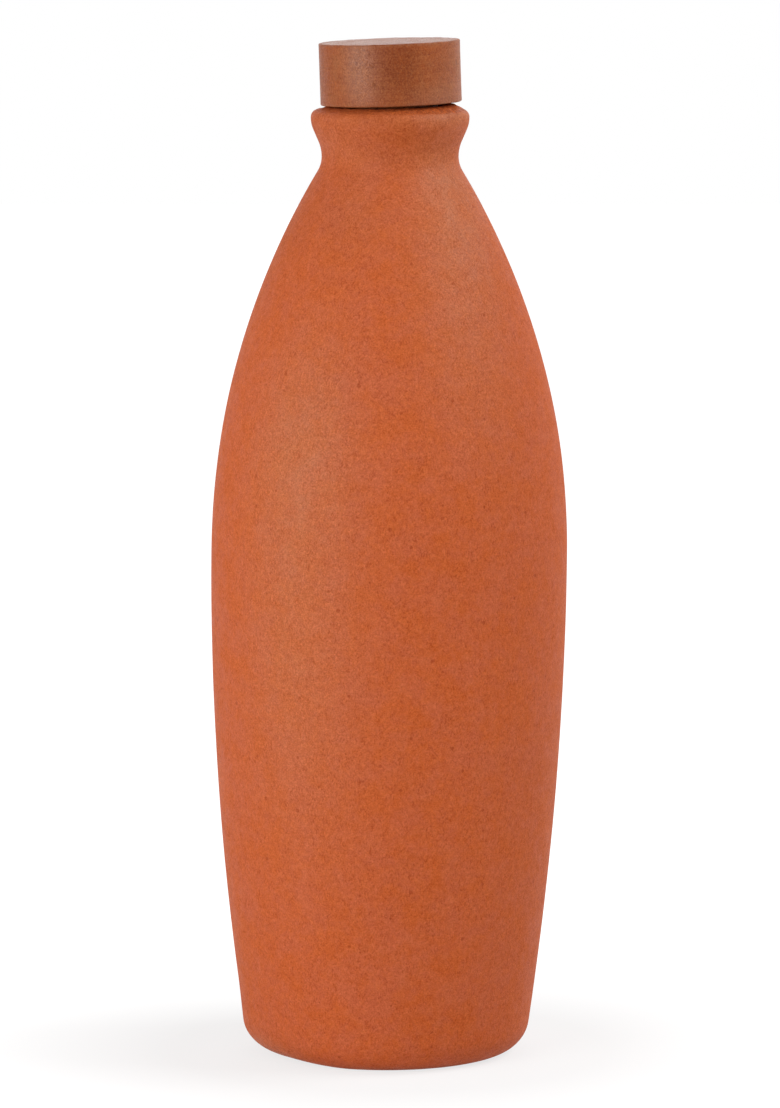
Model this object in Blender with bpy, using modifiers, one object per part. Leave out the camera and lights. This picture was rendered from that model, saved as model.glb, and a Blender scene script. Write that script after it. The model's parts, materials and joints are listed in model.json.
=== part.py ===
"""A clay water bottle: a thrown terracotta bottle and its clay stopper with two seal rings.

Sizes are in metres and +Z is up. The origin is the centre of the foot, on the table. The stopper
sits a little askew, its right side up, as a stopper made by hand does.
"""

import math

import bpy
from mathutils import Vector

# Outside of the bottle
BELLY_RADIUS = 0.0490
BELLY_HEIGHT = 0.1380
BASE_RADIUS = 0.0381  # where the long lower curve would meet the table without its rounded foot
FOOT_ROUND = 0.0095
WAIST_RADIUS = 0.01862
WAIST_HEIGHT = 0.2464
WAIST_ROUND = 0.0077  # hollow curve from the shoulder into the waist

# Lip above the waist
FLARE_ROUND = 0.0105
FLARE_ANGLE = math.radians(23.5)  # lean of the flare from upright
LIP_RADIUS = 0.02155
LIP_BAND = 0.0034  # upright height of the lip before its edges are rounded
LIP_UNDER_ROUND = 0.0083
LIP_TOP_ROUND = 0.0021
RIM_SLOPE = math.radians(15.0)  # the lip's top rises inwards to the rim
RIM_ROUND = 0.0020

# Inside of the bottle
MOUTH_RADIUS = 0.0145
THROAT_HEIGHT = 0.2410  # where the straight mouth ends and the hollow widens
THROAT_ROUND = 0.0080
WALL = 0.0050
FLOOR = 0.0065
FLOOR_ROUND = 0.0120

# Shallow dish under the foot, which leaves a flat standing ring
DISH_RADIUS = 0.0235
DISH_DEPTH = 0.0012

# Stopper
HEAD_RADIUS = 0.01918
HEAD_HEIGHT = 0.01685
HEAD_ROUND = 0.0004
STEM_LENGTH = 0.0170
STEM_ROUND = 0.0015
STEM_FILLET = 0.0005
STOPPER_TILT = math.radians(1.9)  # to the left
STOPPER_LEAN_BACK = math.radians(0.4)
STOPPER_SHIFT = 0.0003  # the head's underside sits this far to the right of the bottle's axis

# Seal rings on the stem, measured down from the underside of the head
RING_SECTION = 0.0026
RING_PROUD = 0.0009  # how far a ring stands out of the stem
UPPER_RING_DEPTH = 0.0050
LOWER_RING_DEPTH = 0.0110

# Clearances
SEAT_GAP = 0.0003  # between the head and the rim where they come closest
RING_GAP = 0.0003  # round a ring, to its groove and to the mouth

# Fineness of the turned surfaces
TURN_STEPS = 56
RING_STEPS = 10
CHORD_ERROR = 0.00005
MERGE_DISTANCE = 0.00001
SHARP_ANGLE = math.radians(35.0)

# Plain colours, and how matt each is
BOTTLE_COLOUR = (0.55, 0.125, 0.038)
BOTTLE_ROUGHNESS = 0.75
STOPPER_COLOUR = (0.38, 0.115, 0.05)
STOPPER_ROUGHNESS = 0.7
SEAL_COLOUR = (0.76, 0.72, 0.64)
SEAL_ROUGHNESS = 0.45

PARTS = "clay_water_bottle"
GUIDES = "guides"
EMPTY_SIZE = 0.03


def arc(centre, start, end):
    """Points of the short arc about centre from start to end, both included."""
    spoke = start - centre
    first = math.atan2(spoke.y, spoke.x)
    last = math.atan2(end.y - centre.y, end.x - centre.x)
    turn = (last - first + math.pi) % math.tau - math.pi
    widest_step = 2 * math.acos(1 - CHORD_ERROR / spoke.length)
    count = max(1, math.ceil(abs(turn) / widest_step))
    angles = [first + turn * index / count for index in range(count + 1)]
    return [centre + spoke.length * Vector((math.cos(angle), math.sin(angle))) for angle in angles]


def rounded(corners):
    """Points of the line through (radius, height, rounding) corners, each rounded off."""
    places = [Vector(corner[:2]) for corner in corners]
    points = [places[0]]
    for index in range(1, len(corners) - 1):
        here, rounding = places[index], corners[index][2]
        if rounding == 0:
            points.append(here)
            continue
        back = (places[index - 1] - here).normalized()
        ahead = (places[index + 1] - here).normalized()
        half_angle = back.angle(ahead) / 2
        centre = here + (back + ahead).normalized() * rounding / math.sin(half_angle)
        reach = rounding / math.tan(half_angle)
        points += arc(centre, here + back * reach, here + ahead * reach)
    return points + [places[-1]]


def wall_curve(belly_radius, lower_sweep, floor, floor_round, neck_radius, neck_height, neck_round):
    """Half outline of one face of the wall, from the floor's flat up to the neck.

    A long arc of radius lower_sweep stands upright at the belly and runs down into the rounding at
    the floor. A second arc leaves the belly upright and runs into the hollow curve of the neck.
    """
    belly = Vector((belly_radius, BELLY_HEIGHT))
    lower_centre = belly - Vector((lower_sweep, 0))
    rise = BELLY_HEIGHT - floor - floor_round
    inset = math.sqrt((lower_sweep - floor_round) ** 2 - rise**2)
    corner_centre = Vector((lower_centre.x + inset, floor + floor_round))
    flat_end = corner_centre - Vector((0, floor_round))
    corner_end = lower_centre + (corner_centre - lower_centre).normalized() * lower_sweep

    narrowing = belly_radius - neck_radius
    height = neck_height - BELLY_HEIGHT
    upper_sweep = ((narrowing - neck_round) ** 2 - neck_round**2 + height**2) / (2 * narrowing)
    upper_centre = belly - Vector((upper_sweep, 0))
    neck_centre = Vector((neck_radius + neck_round, neck_height))
    touch = upper_centre + (neck_centre - upper_centre).normalized() * upper_sweep
    neck = Vector((neck_radius, neck_height))

    return (
        arc(corner_centre, flat_end, corner_end)
        + arc(lower_centre, corner_end, belly)[1:]
        + arc(upper_centre, belly, touch)[1:]
        + arc(neck_centre, touch, neck)[1:]
    )


def lip_curve():
    """Half outline of the lip, from the waist up over the rim and down to the throat."""
    flare_start = WAIST_HEIGHT + FLARE_ROUND * math.tan(FLARE_ANGLE / 2)
    band_start = flare_start + (LIP_RADIUS - WAIST_RADIUS) / math.tan(FLARE_ANGLE)
    band_end = band_start + LIP_BAND
    rim = band_end + (LIP_RADIUS - MOUTH_RADIUS) * math.tan(RIM_SLOPE)
    curve = rounded([
        (WAIST_RADIUS, WAIST_HEIGHT, 0),
        (WAIST_RADIUS, flare_start, FLARE_ROUND),
        (LIP_RADIUS, band_start, LIP_UNDER_ROUND),
        (LIP_RADIUS, band_end, LIP_TOP_ROUND),
        (MOUTH_RADIUS, rim, RIM_ROUND),
        (MOUTH_RADIUS, THROAT_HEIGHT, 0),
    ])
    return curve[1:]


def bottle_profile():
    """Half section of the clay, from the middle of the inner floor to the middle underneath."""
    drop = BELLY_RADIUS - BASE_RADIUS
    sweep = (drop**2 + BELLY_HEIGHT**2) / (2 * drop)
    outside = wall_curve(
        BELLY_RADIUS, sweep, 0, FOOT_ROUND, WAIST_RADIUS, WAIST_HEIGHT, WAIST_ROUND
    )
    inside = wall_curve(
        BELLY_RADIUS - WALL, sweep - WALL, FLOOR, FLOOR_ROUND,
        MOUTH_RADIUS, THROAT_HEIGHT, THROAT_ROUND,
    )
    dish_sweep = (DISH_RADIUS**2 + DISH_DEPTH**2) / (2 * DISH_DEPTH)
    dish_centre = Vector((0, DISH_DEPTH - dish_sweep))
    dish = arc(dish_centre, Vector((DISH_RADIUS, 0)), Vector((0, DISH_DEPTH)))
    down_the_lip = lip_curve()[-2::-1]
    down_the_outside = outside[-2::-1]
    return [Vector((0, FLOOR))] + inside + down_the_lip + down_the_outside + dish


def seat_height():
    """Height of the middle of the head's underside, where the askew head just clears the rim."""
    askew = math.hypot(STOPPER_TILT, STOPPER_LEAN_BACK)
    slope = math.tan(askew)
    highest = max(point.y + (point.x + STOPPER_SHIFT) * slope for point in lip_curve())
    return highest + SEAT_GAP / math.cos(askew)


def ring_outer_radius():
    """A ring fills the mouth but for its gap, and for how far off its middle the lower ring lies."""
    lean = LOWER_RING_DEPTH * math.sin(math.hypot(STOPPER_TILT, STOPPER_LEAN_BACK))
    return MOUTH_RADIUS - RING_GAP - STOPPER_SHIFT - lean


def stopper_profile():
    """Half section of the stopper, about its own axis, with height 0 at the head's underside."""
    ring_radius = ring_outer_radius()
    stem_radius = ring_radius - RING_PROUD
    groove_radius = ring_radius - RING_SECTION - RING_GAP
    groove_half = RING_SECTION / 2 + RING_GAP
    corners = [
        (0, HEAD_HEIGHT, 0),
        (HEAD_RADIUS, HEAD_HEIGHT, HEAD_ROUND),
        (HEAD_RADIUS, 0, HEAD_ROUND),
        (stem_radius, 0, STEM_FILLET),
    ]
    for depth in (UPPER_RING_DEPTH, LOWER_RING_DEPTH):
        corners += [
            (stem_radius, groove_half - depth, 0),
            (groove_radius, groove_half - depth, 0),
            (groove_radius, -groove_half - depth, 0),
            (stem_radius, -groove_half - depth, 0),
        ]
    corners += [(stem_radius, -STEM_LENGTH, STEM_ROUND), (0, -STEM_LENGTH, 0)]
    return rounded(corners)


def principled(name, colour, roughness):
    """A plain non-metallic material."""
    material = bpy.data.materials.new(name)
    material.use_nodes = True
    shader = material.node_tree.nodes["Principled BSDF"]
    shader.inputs["Base Color"].default_value = (*colour, 1.0)
    shader.inputs["Roughness"].default_value = roughness
    shader.inputs["Metallic"].default_value = 0.0
    return material


def finish_round(mesh, material):
    """Shades a turned mesh smooth, with its true corners kept sharp."""
    mesh.shade_smooth()
    mesh.set_sharp_from_angle(angle=SHARP_ANGLE)
    mesh.materials.append(material)


def turned(name, profile, material, collection):
    """A solid of revolution about its own Z axis, from a half section that runs down its outside."""
    mesh = bpy.data.meshes.new(name)
    edges = [(index, index + 1) for index in range(len(profile) - 1)]
    mesh.from_pydata([(point.x, 0, point.y) for point in profile], edges, [])
    solid = bpy.data.objects.new(name, mesh)
    collection.objects.link(solid)
    screw = solid.modifiers.new("turn", "SCREW")
    screw.axis = "Z"
    screw.steps = TURN_STEPS
    screw.render_steps = TURN_STEPS
    screw.use_merge_vertices = True
    screw.merge_threshold = MERGE_DISTANCE
    graph = bpy.context.evaluated_depsgraph_get()
    solid.data = bpy.data.meshes.new_from_object(solid.evaluated_get(graph))
    solid.data.name = name
    solid.modifiers.clear()
    bpy.data.meshes.remove(mesh)
    finish_round(solid.data, material)
    return solid


def seal_ring(name, depth, material, collection, axis_empty):
    """A round-section ring in the stem's groove at this depth below the head."""
    bpy.ops.mesh.primitive_torus_add(
        major_radius=ring_outer_radius() - RING_SECTION / 2,
        minor_radius=RING_SECTION / 2,
        major_segments=TURN_STEPS,
        minor_segments=RING_STEPS,
    )
    ring = bpy.context.object
    ring.name = name
    ring.data.name = name
    for owner in ring.users_collection:
        owner.objects.unlink(ring)
    collection.objects.link(ring)
    finish_round(ring.data, material)
    ring.parent = axis_empty
    ring.location = (0, 0, -depth)
    return ring


def clear_scene():
    """Removes what the startup scene holds."""
    for old in list(bpy.data.objects):
        bpy.data.objects.remove(old)


def new_collection(name):
    """An empty collection in the scene."""
    collection = bpy.data.collections.new(name)
    bpy.context.scene.collection.children.link(collection)
    return collection


def build():
    """Makes the bottle, and the stopper and its rings about the stopper's own leaning axis."""
    clear_scene()
    parts = new_collection(PARTS)
    guides = new_collection(GUIDES)
    bottle_clay = principled("terracotta", BOTTLE_COLOUR, BOTTLE_ROUGHNESS)
    stopper_clay = principled("stopper_clay", STOPPER_COLOUR, STOPPER_ROUGHNESS)
    silicone = principled("seal_silicone", SEAL_COLOUR, SEAL_ROUGHNESS)

    turned("bottle_body", bottle_profile(), bottle_clay, parts)

    stopper_axis = bpy.data.objects.new("stopper_axis", None)
    stopper_axis.empty_display_size = EMPTY_SIZE
    stopper_axis.location = (STOPPER_SHIFT, 0, seat_height())
    stopper_axis.rotation_euler = (-STOPPER_LEAN_BACK, -STOPPER_TILT, 0)
    guides.objects.link(stopper_axis)

    stopper = turned("stopper", stopper_profile(), stopper_clay, parts)
    stopper.parent = stopper_axis
    seal_ring("upper_seal_ring", UPPER_RING_DEPTH, silicone, parts, stopper_axis)
    seal_ring("lower_seal_ring", LOWER_RING_DEPTH, silicone, parts, stopper_axis)


build()
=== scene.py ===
"""Dresses the packed clay water bottle and sets it on a pale floor in soft studio light.

Sizes are in metres and +Z is up. The bottle, its stopper and the two seal rings are turned afresh
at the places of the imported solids, finer than those, with the small unevenness of handwork: the
foot stands a little to the left of the neck, and the rim is higher on the right.
"""

import json
import logging
import math
from collections.abc import Callable, Iterator
from contextlib import contextmanager
from dataclasses import dataclass
from enum import Enum
from functools import cached_property

import bpy
from mathutils import Matrix, Vector


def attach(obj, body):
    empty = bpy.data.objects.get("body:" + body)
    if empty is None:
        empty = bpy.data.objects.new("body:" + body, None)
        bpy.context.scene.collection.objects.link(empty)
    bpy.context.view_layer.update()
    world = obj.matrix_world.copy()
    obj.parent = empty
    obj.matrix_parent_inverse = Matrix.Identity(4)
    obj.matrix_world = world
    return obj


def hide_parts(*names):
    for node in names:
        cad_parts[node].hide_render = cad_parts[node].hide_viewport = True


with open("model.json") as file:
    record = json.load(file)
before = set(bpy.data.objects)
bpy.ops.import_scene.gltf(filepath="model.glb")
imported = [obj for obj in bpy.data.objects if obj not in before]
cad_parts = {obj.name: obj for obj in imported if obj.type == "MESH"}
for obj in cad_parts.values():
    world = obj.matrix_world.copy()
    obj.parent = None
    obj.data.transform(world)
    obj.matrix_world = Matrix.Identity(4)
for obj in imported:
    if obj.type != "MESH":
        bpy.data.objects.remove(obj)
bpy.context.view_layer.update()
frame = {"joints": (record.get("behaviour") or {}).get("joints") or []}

log = logging.getLogger("clay_water_bottle")

Colour = tuple[float, float, float]
Corner = tuple[float, float, float]
Scale = tuple[float, float, float]
Range = tuple[float, float]
Socket = bpy.types.NodeSocket
Piece = bpy.types.Object


class Body(Enum):
    """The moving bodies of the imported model."""

    BOTTLE = "bottle"
    SEAL_RINGS = "seal_rings"
    STOPPER = "stopper"


class Slot(Enum):
    """The record's material slots."""

    TERRACOTTA = "terracotta"
    STOPPER_CLAY = "stopper_clay"
    SEAL_SILICONE = "seal_silicone"


class Mark(Enum):
    """Marks that the mesh carries for its finish, from none at 0 to strong at about 1, some of them
    painted sheen and painted shade.
    """

    # Worn clay and chips; on the bottle's rim the darker chips also paint the shade under the
    # stopper's overhang.
    WEAR_AND_SHADE = "wear"
    # Darker clay: patches of painted shade, a darker neck, and darker bands and top on the stopper.
    STAIN_AND_SHADE = "stain"
    # Paler, smoother clay: painted sheen in place of highlights, and the standing ring rubbed by
    # tables.
    PAINTED_SHEEN_AND_POLISH = "burnish"


class Operation(Enum):
    """What a Math node does with its two values."""

    ADD = "ADD"
    SUBTRACT = "SUBTRACT"
    MULTIPLY = "MULTIPLY"
    MAXIMUM = "MAXIMUM"


class SeenBy(Enum):
    """Light Path outputs that tell what kind of ray has arrived."""

    CAMERA = "Is Camera Ray"
    GLOSSY = "Is Glossy Ray"
    TRANSMISSION = "Is Transmission Ray"


# Measures


def clamped(value: float) -> float:
    """Holds a value between 0 and 1."""
    return min(1.0, max(0.0, value))


def azimuth(place: Vector) -> float:
    """The side that a place is on, in degrees from the camera's side round to the right."""
    return math.degrees(math.atan2(place.x, -place.y))


def turn_between(first: float, second: float) -> float:
    """The shorter turn from the second azimuth to the first, in degrees and with its sign."""
    return (first - second + 180) % 360 - 180


# Half sections


@dataclass(frozen=True)
class Outliner:
    """Draws half sections as points of radius and height.

    chord_error is how far a facet may lie inside its arc, and longest_step splits long facets.
    """

    chord_error: float = 0.000008
    longest_step: float = 0.0012

    def arc(self, centre: Vector, start: Vector, end: Vector) -> list[Vector]:
        """Follows the short arc from start to end.

        Args:
            centre: The arc's centre.
            start: Its first point.
            end: Its last point.

        Returns:
            The points, both ends included.
        """
        spoke = start - centre
        first = math.atan2(spoke.y, spoke.x)
        last = math.atan2(end.y - centre.y, end.x - centre.x)
        turn = (last - first + math.pi) % math.tau - math.pi
        by_error = 2 * math.acos(1 - self.chord_error / spoke.length)
        widest = min(by_error, self.longest_step / spoke.length)
        count = max(1, math.ceil(abs(turn) / widest))
        angles = [first + turn * index / count for index in range(count + 1)]
        return [centre + spoke.length * Vector((math.cos(a), math.sin(a))) for a in angles]

    def rounded(self, corners: list[Corner]) -> list[Vector]:
        """Follows a line through corners, each rounded off.

        Args:
            corners: Radius, height and rounding of each corner.

        Returns:
            The points, with straight runs split into steps.
        """
        places = [Vector(corner[:2]) for corner in corners]
        points = [places[0]]
        for index in range(1, len(corners) - 1):
            here, rounding = places[index], corners[index][2]
            back = (places[index - 1] - here).normalized()
            ahead = (places[index + 1] - here).normalized()
            half_angle = back.angle(ahead) / 2
            centre = here + (back + ahead).normalized() * rounding / math.sin(half_angle)
            reach = rounding / math.tan(half_angle)
            points += self.arc(centre, here + back * reach, here + ahead * reach)
        return self.split(points + [places[-1]])

    def split(self, points: list[Vector]) -> list[Vector]:
        """Splits every run that is longer than the longest step into equal shares.

        Args:
            points: The line's points.

        Returns:
            The same points with those of the splits between them.
        """
        out = [points[0]]
        for start, end in zip(points, points[1:]):
            shares = max(1, math.ceil((end - start).length / self.longest_step))
            out += [start.lerp(end, share / shares) for share in range(1, shares + 1)]
        return out


@dataclass(frozen=True)
class TurningAxis:
    """The line that a piece is turned about, and the point on it that counts as height 0."""

    foot: Vector
    up: Vector

    def matrix(self) -> Matrix:
        """The axis as a frame that a half section stands in."""
        turned = self.up.to_track_quat("Z", "Y").to_matrix().to_4x4()
        return Matrix.Translation(self.foot) @ turned

    def place(self, point: Vector) -> Vector:
        """Where a half section's point of radius and height lies before the turn."""
        return self.matrix() @ Vector((point.x, 0, point.y))


UPRIGHT = TurningAxis(Vector((0, 0, 0)), Vector((0, 0, 1)))


# Modelling


class Workbench:
    """Modelling steps as done by hand, each on one piece with everything else deselected."""

    SEED = 0.001
    MERGE = 0.000002

    @staticmethod
    def pick(piece: Piece) -> None:
        """Selects one object alone and makes it the active one.

        Args:
            piece: The object to pick.
        """
        bpy.ops.object.select_all(action="DESELECT")
        piece.select_set(True)
        bpy.context.view_layer.objects.active = piece

    @classmethod
    @contextmanager
    def editing(cls, piece: Piece) -> Iterator[None]:
        """Holds one piece in edit mode, picking vertices, for the length of a with block.

        Args:
            piece: The piece to edit.

        Returns:
            The with block's context, which holds no value.
        """
        cls.pick(piece)
        bpy.ops.object.mode_set(mode="EDIT")
        bpy.ops.mesh.select_mode(type="VERT")
        yield
        bpy.ops.object.mode_set(mode="OBJECT")

    @classmethod
    def select_where(cls, piece: Piece, test: Callable[[Vector], bool]) -> None:
        """Selects the vertices whose place passes a test, with all else deselected.

        Args:
            piece: A piece in object mode.
            test: Takes a place and says whether its vertex is wanted.
        """
        with cls.editing(piece):
            bpy.ops.mesh.select_all(action="DESELECT")
        for vertex in piece.data.vertices:
            vertex.select = test(vertex.co)

    @classmethod
    def turn(cls, name: str, profile: list[Vector], axis: TurningAxis, steps: int) -> Piece:
        """Draws a half section point by point and spins it into a closed solid.

        Args:
            name: The piece's name.
            profile: Points of radius and height, from axis to axis or as a closed loop.
            axis: The line to turn about.
            steps: Facets round the axis.

        Returns:
            The solid, with its place in its mesh.
        """
        bpy.ops.object.select_all(action="DESELECT")
        bpy.ops.mesh.primitive_plane_add(size=cls.SEED, location=axis.place(profile[0]))
        piece = bpy.context.object
        piece.name = name
        piece.data.name = name
        with cls.editing(piece):
            bpy.ops.mesh.select_all(action="SELECT")
            bpy.ops.mesh.merge(type="CENTER")
            for here, there in zip(profile, profile[1:]):
                stride = axis.place(there) - axis.place(here)
                bpy.ops.mesh.extrude_region_move(TRANSFORM_OT_translate={"value": stride})
            bpy.ops.mesh.select_all(action="SELECT")
            bpy.ops.mesh.spin(steps=steps, angle=math.tau, center=axis.foot, axis=axis.up)
            bpy.ops.mesh.select_all(action="SELECT")
            bpy.ops.mesh.remove_doubles(threshold=cls.MERGE)
            bpy.ops.mesh.normals_make_consistent(inside=False)
        bpy.ops.object.transform_apply(location=True, rotation=True, scale=True)
        bpy.ops.object.shade_smooth()
        return piece

    @classmethod
    def weigh(cls, piece: Piece, name: str, weight: Callable[[Vector], float]) -> None:
        """Adds a vertex group whose weights come from the vertices' places.

        Args:
            piece: The piece that gets the group.
            name: The group's name.
            weight: Takes a place and gives its weight, from 0 to 1.
        """
        group = piece.vertex_groups.new(name=name)
        for vertex in piece.data.vertices:
            share = weight(vertex.co)
            if share > 0:
                group.add([vertex.index], share, "REPLACE")

    @staticmethod
    def mark(piece: Piece, kind: Mark, amount: Callable[[Vector], float]) -> None:
        """Writes how strong a mark of use is at each vertex, for the finish to read.

        Args:
            piece: The piece to mark.
            kind: The mark.
            amount: Takes a place and gives the mark's strength there.
        """
        marks = piece.data.attributes.new(kind.value, "FLOAT", "POINT")
        for vertex, mark in zip(piece.data.vertices, marks.data):
            mark.value = amount(vertex.co)

    @classmethod
    def roughen(
        cls, piece: Piece, group: str, grain: float, depth: float, inwards: float = 0.5
    ) -> None:
        """Pushes a group's surface in and out along its normals by a cloudy pattern.

        Args:
            piece: The piece to roughen.
            group: The vertex group, with its weights.
            grain: Size of the pattern's lumps.
            depth: Height from the deepest to the highest.
            inwards: Share of the depth that goes inwards.
        """
        pattern = bpy.data.textures.new(f"{piece.name}_{group}", type="CLOUDS")
        pattern.noise_scale = grain
        pattern.noise_depth = 1
        cls.pick(piece)
        modifier = piece.modifiers.new(group, "DISPLACE")
        modifier.texture = pattern
        modifier.texture_coords = "LOCAL"
        modifier.vertex_group = group
        modifier.strength = depth
        modifier.mid_level = inwards
        bpy.ops.object.modifier_apply(modifier=modifier.name)


# Finishes

EVEN_STEP = 0.58  # how a step that looks even grows with a channel's brightness
DARKEST = (0.002, 0.002, 0.002)


@dataclass(frozen=True)
class Cloud:
    """A cloudy pattern, with values of about 0.3 to 0.7.

    lumps is how many come to the metre, layers how many finer patterns lie in it, and fineness
    how strongly they show. The values in used are the part that a finish makes use of.
    """

    lumps: float
    layers: float
    fineness: float
    used: Range = (0.32, 0.68)


class NodeBoard:
    """Lays out the shader nodes of one material, with patterns on Object coordinates."""

    def __init__(self, name: str) -> None:
        """Starts a material with a bare Principled shader.

        Args:
            name: The material's name.
        """
        self.material = bpy.data.materials.new(name)
        self.material.use_nodes = True
        self.nodes = self.material.node_tree.nodes
        self.links = self.material.node_tree.links
        self.shader = self.nodes["Principled BSDF"]
        self.coordinates = self.nodes.new("ShaderNodeTexCoord").outputs["Object"]

    def feed(self, socket: Socket, value: Socket | float | Colour) -> None:
        """Links a socket to another's output, or sets it to a plain value.

        Args:
            socket: The input to feed.
            value: An output, a number or a colour.
        """
        if isinstance(value, Socket):
            self.links.new(value, socket)
        elif isinstance(value, tuple) and len(socket.default_value) > len(value):
            socket.default_value = (*value, 1.0)
        else:
            socket.default_value = value

    def place(self, axis: TurningAxis) -> Socket:
        """Object coordinates as seen from a piece's own axis.

        Args:
            axis: The piece's axis, which becomes the coordinates' Z.

        Returns:
            The coordinates' socket.
        """
        node = self.nodes.new("ShaderNodeMapping")
        inverse = axis.matrix().inverted()
        node.inputs["Location"].default_value = inverse.to_translation()
        node.inputs["Rotation"].default_value = inverse.to_euler()
        self.links.new(self.coordinates, node.inputs["Vector"])
        return node.outputs["Vector"]

    def scaled(self, where: Socket, scale: Scale) -> Socket:
        """Scales coordinates, so that a pattern on them is drawn out where the scale is small.

        Args:
            where: The coordinates.
            scale: Their scale along X, Y and Z.

        Returns:
            The scaled coordinates' socket.
        """
        node = self.nodes.new("ShaderNodeMapping")
        node.inputs["Scale"].default_value = scale
        self.links.new(where, node.inputs["Vector"])
        return node.outputs["Vector"]

    def noise(self, where: Socket, cloud: Cloud) -> Socket:
        """A cloudy pattern as it is.

        Args:
            where: The coordinates that it lies on.
            cloud: The pattern.

        Returns:
            The pattern's value.
        """
        node = self.nodes.new("ShaderNodeTexNoise")
        self.links.new(where, node.inputs["Vector"])
        node.inputs["Scale"].default_value = cloud.lumps
        node.inputs["Detail"].default_value = cloud.layers
        node.inputs["Roughness"].default_value = cloud.fineness
        return node.outputs["Fac"]

    def cells(self, where: Socket, scale: float) -> bpy.types.Node:
        """A Voronoi pattern.

        Args:
            where: The coordinates that it lies on.
            scale: How many cells come to the metre.

        Returns:
            The pattern's node.
        """
        node = self.nodes.new("ShaderNodeTexVoronoi")
        self.links.new(where, node.inputs["Vector"])
        node.inputs["Scale"].default_value = scale
        return node

    def remap(self, value: Socket, source: Range, target: Range) -> Socket:
        """Takes one range of values to another, held at both ends.

        Args:
            value: The value to take over.
            source: The range that it comes in.
            target: The range that it goes to.

        Returns:
            The value in its new range.
        """
        node = self.nodes.new("ShaderNodeMapRange")
        self.links.new(value, node.inputs["Value"])
        node.inputs["From Min"].default_value, node.inputs["From Max"].default_value = source
        node.inputs["To Min"].default_value, node.inputs["To Max"].default_value = target
        return node.outputs["Result"]

    def clouding(self, where: Socket, cloud: Cloud, target: Range) -> Socket:
        """A cloudy pattern with the values that it is used for taken to a range."""
        return self.remap(self.noise(where, cloud), cloud.used, target)

    def calculate(
        self, operation: Operation, first: Socket | float, second: Socket | float
    ) -> Socket:
        """A Math node on two values.

        Args:
            operation: What the node does.
            first: Its first value.
            second: Its second value.

        Returns:
            The outcome's socket.
        """
        node = self.nodes.new("ShaderNodeMath")
        node.operation = operation.value
        self.feed(node.inputs[0], first)
        self.feed(node.inputs[1], second)
        return node.outputs["Value"]

    def plus(self, first: Socket, second: Socket) -> Socket:
        """Adds the second value to the first."""
        return self.calculate(Operation.ADD, first, second)

    def minus(self, first: Socket, second: Socket) -> Socket:
        """Takes the second value from the first."""
        return self.calculate(Operation.SUBTRACT, first, second)

    def times(self, first: Socket, second: Socket | float) -> Socket:
        """Multiplies the first value by the second."""
        return self.calculate(Operation.MULTIPLY, first, second)

    def blend(self, share: Socket, first: Socket | Colour, second: Socket | Colour) -> Socket:
        """Mixes two colours.

        Args:
            share: How much of the second there is, from 0 to 1.
            first: The first colour.
            second: The second colour.

        Returns:
            The mixed colour.
        """
        node = self.nodes.new("ShaderNodeMix")
        node.data_type = "RGBA"
        self.feed(node.inputs["Factor"], share)
        self.feed(node.inputs["A"], first)
        self.feed(node.inputs["B"], second)
        return node.outputs["Result"]

    def lift(self, colour: Socket, amount: Socket, tone: Colour) -> Socket:
        """Adds an amount of a tone to a colour, or takes it away, and stays above black.

        Args:
            colour: The colour to change.
            amount: How much of the tone is added, less than 0 to take it away.
            tone: The tone.

        Returns:
            The changed colour.
        """
        moved = self.nodes.new("ShaderNodeVectorMath")
        moved.operation = "MULTIPLY_ADD"
        self.links.new(amount, moved.inputs[0])
        moved.inputs[1].default_value = tone
        self.links.new(colour, moved.inputs[2])
        held = self.nodes.new("ShaderNodeVectorMath")
        held.operation = "MAXIMUM"
        self.links.new(moved.outputs["Vector"], held.inputs[0])
        held.inputs[1].default_value = DARKEST
        return held.outputs["Vector"]

    def marked(self, kind: Mark) -> Socket:
        """Reads one of the mesh's marks of use.

        Args:
            kind: The mark.

        Returns:
            The mark's strength.
        """
        node = self.nodes.new("ShaderNodeAttribute")
        node.attribute_name = kind.value
        return node.outputs["Fac"]

    def relief(self, height: Socket, depth: float) -> None:
        """Gives the shader a bump.

        Args:
            height: The bump's height, of about 0 to 1.
            depth: What a height of 1 stands for, in metres.
        """
        node = self.nodes.new("ShaderNodeBump")
        node.inputs["Distance"].default_value = depth
        self.links.new(height, node.inputs["Height"])
        self.links.new(node.outputs["Normal"], self.shader.inputs["Normal"])


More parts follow.
